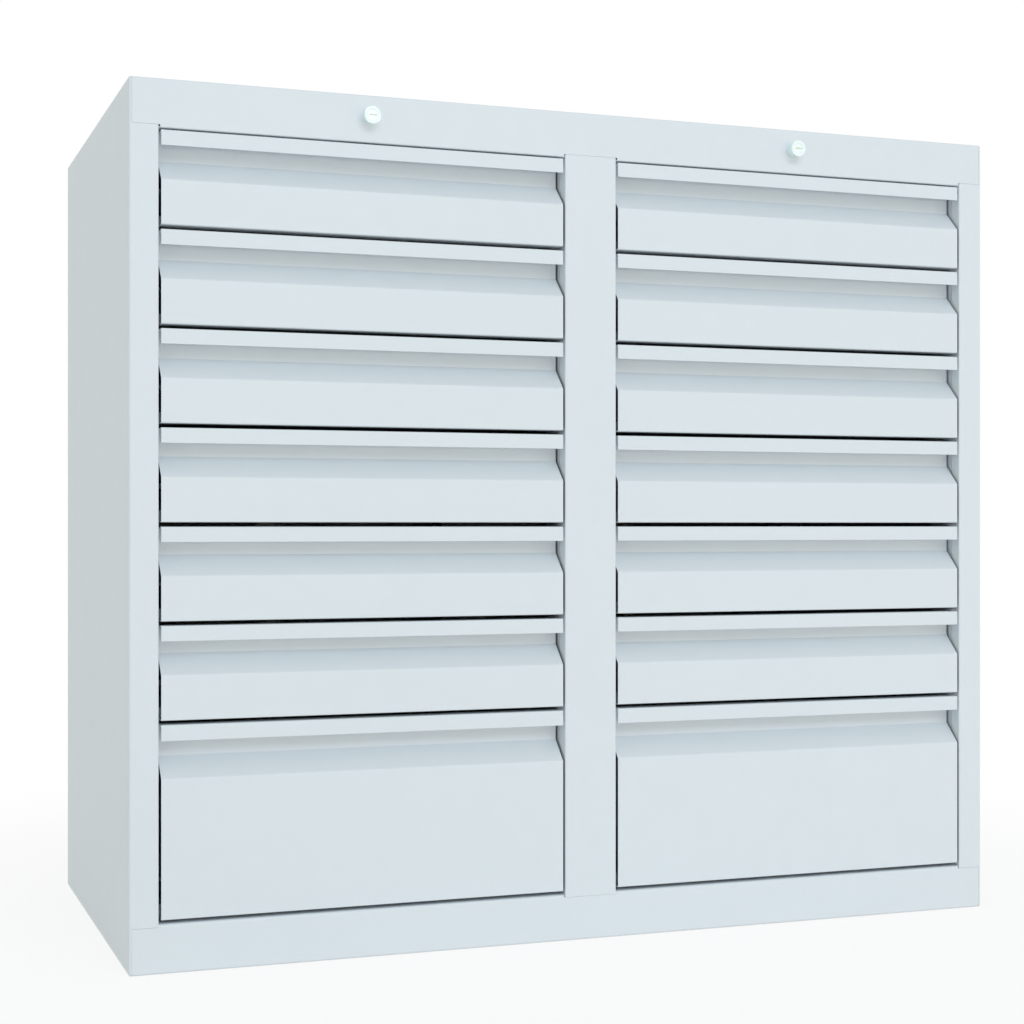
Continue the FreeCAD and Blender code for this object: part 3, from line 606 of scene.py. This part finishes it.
nickel = Finish("lock_nickel_plate", Metallic=1.0)
brushed = nickel.noise(3000.0)
nickel.feed(nickel.shader, {
    "Base Color": nickel.tint(nickel.noise(80.0), (0.755, 0.87, 0.84), (0.795, 0.91, 0.88)),
    "Roughness": 0.2 + 0.14 * brushed,
    "Normal": nickel.relief(brushed, 0.00001)})
brass = Finish("lock_shutter_brass", Metallic=1.0)
satin = brass.noise(2200.0)
brass.feed(brass.shader, {
    "Base Color": brass.tint(satin, (0.58, 0.67, 0.54), (0.68, 0.77, 0.62)),
    "Roughness": 0.16 + 0.12 * satin,
    "Normal": brass.relief(satin, 0.000005)})
SHUTTER = (0.00796, 0.001, 0.00176)
SHUTTER_SINK = 0.0005
SHUTTER_RIM, SHUTTER_DISH, SHUTTER_EDGE = 0.00035, 0.0002, 0.00006
for column in ("left", "right"):
    plug_low, plug_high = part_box(f"{column}_lock_plug")
    head_low, head_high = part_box("lock_housings")
    bpy.ops.object.select_all(action="DESELECT")
    bpy.ops.mesh.primitive_cube_add(size=1, location=(
        (plug_low[0] + plug_high[0]) / 2, plug_low[1] + SHUTTER_SINK + SHUTTER[1] / 2,
        (head_low[2] + head_high[2]) / 2))
    bpy.context.object.scale = SHUTTER
    shutter = start(f"{column}_lock_shutter")
    bpy.ops.object.mode_set(mode="EDIT")
    select_faces(lambda middle: middle.y < plug_low[1] + SHUTTER_SINK + NEAR)
    bpy.ops.mesh.inset(thickness=SHUTTER_RIM)
    bpy.ops.mesh.extrude_region_move(TRANSFORM_OT_translate={"value": (0, SHUTTER_DISH, 0)})
    bpy.ops.mesh.select_all(action="SELECT")
    bpy.ops.mesh.bevel(offset=SHUTTER_EDGE, segments=2, affect="EDGES")
    bpy.ops.object.mode_set(mode="OBJECT")
    round_shading(shutter)
    shutter.data.materials.append(brass.material)
    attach(shutter, f"{column}_lock")
bar_zinc = zinc_plate("lock_bar_zinc_plate", (0.53, 0.57, 0.58), rolled=(1, 1, 0.03))
for column in ("left", "right"):
    pressed(f"{column}_lock_plug", f"{column}_lock", nickel)
    pressed(f"{column}_lock_bar", f"{column}_bar", bar_zinc)
for part in ("lock_nuts", "lock_brackets"):
    pressed(part, "carcass", bar_zinc)


# ---------------------------------------------------------------------------------------
# Studio: a pale floor that runs out of sight, soft light from a pale room and large
# lamps, and the camera.

floor_paint = Finish("studio_floor", Roughness=0.7)
patch = floor_paint.noise(1.5, detail=3.0)
floor_paint.feed(floor_paint.shader,
                 {"Base Color": floor_paint.tint(patch, (0.9, 0.9, 0.9), (0.93, 0.93, 0.93))})


def seen_directly(paint):
    """1 for rays that show the surroundings to the camera, straight or by a mirror or glass."""
    straight, mirrored, passed = (paint.node("ShaderNodeLightPath", {}, {}, out=f"Is {ray} Ray")
                                  for ray in ("Camera", "Glossy", "Transmission"))
    return straight.math("MAXIMUM", straight.math("MAXIMUM", straight, mirrored), passed)


here = floor_paint.node("ShaderNodeTexCoord", {}, {}, out="Object")
away = floor_paint.node("ShaderNodeVectorMath", {"operation": "LENGTH"}, {0: here}, out="Value")
faded = floor_paint.node("ShaderNodeMapRange", {"interpolation_type": "SMOOTHSTEP"},
                         {"Value": away, "From Min": 0.5, "From Max": 1.3,
                          "To Min": 0.84, "To Max": 1.0})
white = floor_paint.node("ShaderNodeEmission", {}, {"Color": (1, 1, 1, 1), "Strength": 1.0})
lit = Value(floor_paint, floor_paint.shader.outputs[0])
shown = floor_paint.node("ShaderNodeMixShader", {},
                         {0: seen_directly(floor_paint) * faded, 1: lit, 2: white})
floor_paint.feed(floor_paint.tree.nodes["Material Output"], {"Surface": shown})

bpy.ops.object.select_all(action="DESELECT")
UNDER_FEET = 0.0003
bpy.ops.mesh.primitive_plane_add(size=60, location=(0, 0, -UNDER_FEET))
floor = start("studio_floor")
floor.data.materials.append(floor_paint.material)

room = bpy.data.worlds.new("studio_room")
room.use_nodes = True
bpy.context.scene.world = room
walls = Nodes(room.node_tree)
sky = walls.node("ShaderNodeBackground", {}, {"Color": (0.957, 1.0, 0.955, 1), "Strength": 0.6})
backdrop = walls.node("ShaderNodeBackground", {}, {"Color": (1, 1, 1, 1), "Strength": 1.0})
behind = walls.node("ShaderNodeMixShader", {}, {0: seen_directly(walls), 1: sky, 2: backdrop})
walls.feed(room.node_tree.nodes["World Output"], {"Surface": behind})
AIM = Vector((0, 0, 0.45))  # the middle of the cabinet


def soft_lamp(name, place, wide, high, power, colour):
    """A rectangular softbox that faces the cabinet, its power in watts."""
    lamp = bpy.data.lights.new(name, "AREA")
    lamp.shape = "RECTANGLE"
    lamp.size, lamp.size_y = wide, high
    lamp.energy = power
    lamp.color = colour
    stand = bpy.data.objects.new(name, lamp)
    stand.location = place
    stand.rotation_euler = (AIM - Vector(place)).to_track_quat("-Z", "Y").to_euler()
    bpy.context.scene.collection.objects.link(stand)


soft_lamp("low_softbox", place=(1.5, -5.0, 0.45), wide=6.0, high=0.8, power=27,
          colour=(1.15, 1.0, 0.9))
soft_lamp("high_softbox", place=(1.0, -14.0, 9.2), wide=14.0, high=5.5, power=625,
          colour=(0.88, 1.0, 1.2))
soft_lamp("left_softbox", place=(-6.0, -1.5, 0.6), wide=3.0, high=3.0, power=9,
          colour=(1.04, 1.0, 0.96))

camera = bpy.data.cameras.new("studio_camera")
camera.sensor_width = 36
camera.lens = 64.495
camera.shift_x = 0.01968
camera.shift_y = 0.01294
viewpoint = bpy.data.objects.new("studio_camera", camera)
viewpoint.location = (-0.7802, -2.0889, 0.4509)
viewpoint.rotation_euler = (math.radians(90), 0, math.radians(-19.834))
bpy.context.scene.collection.objects.link(viewpoint)
bpy.context.scene.camera = viewpoint
bpy.context.scene.view_settings.view_transform = "Standard"
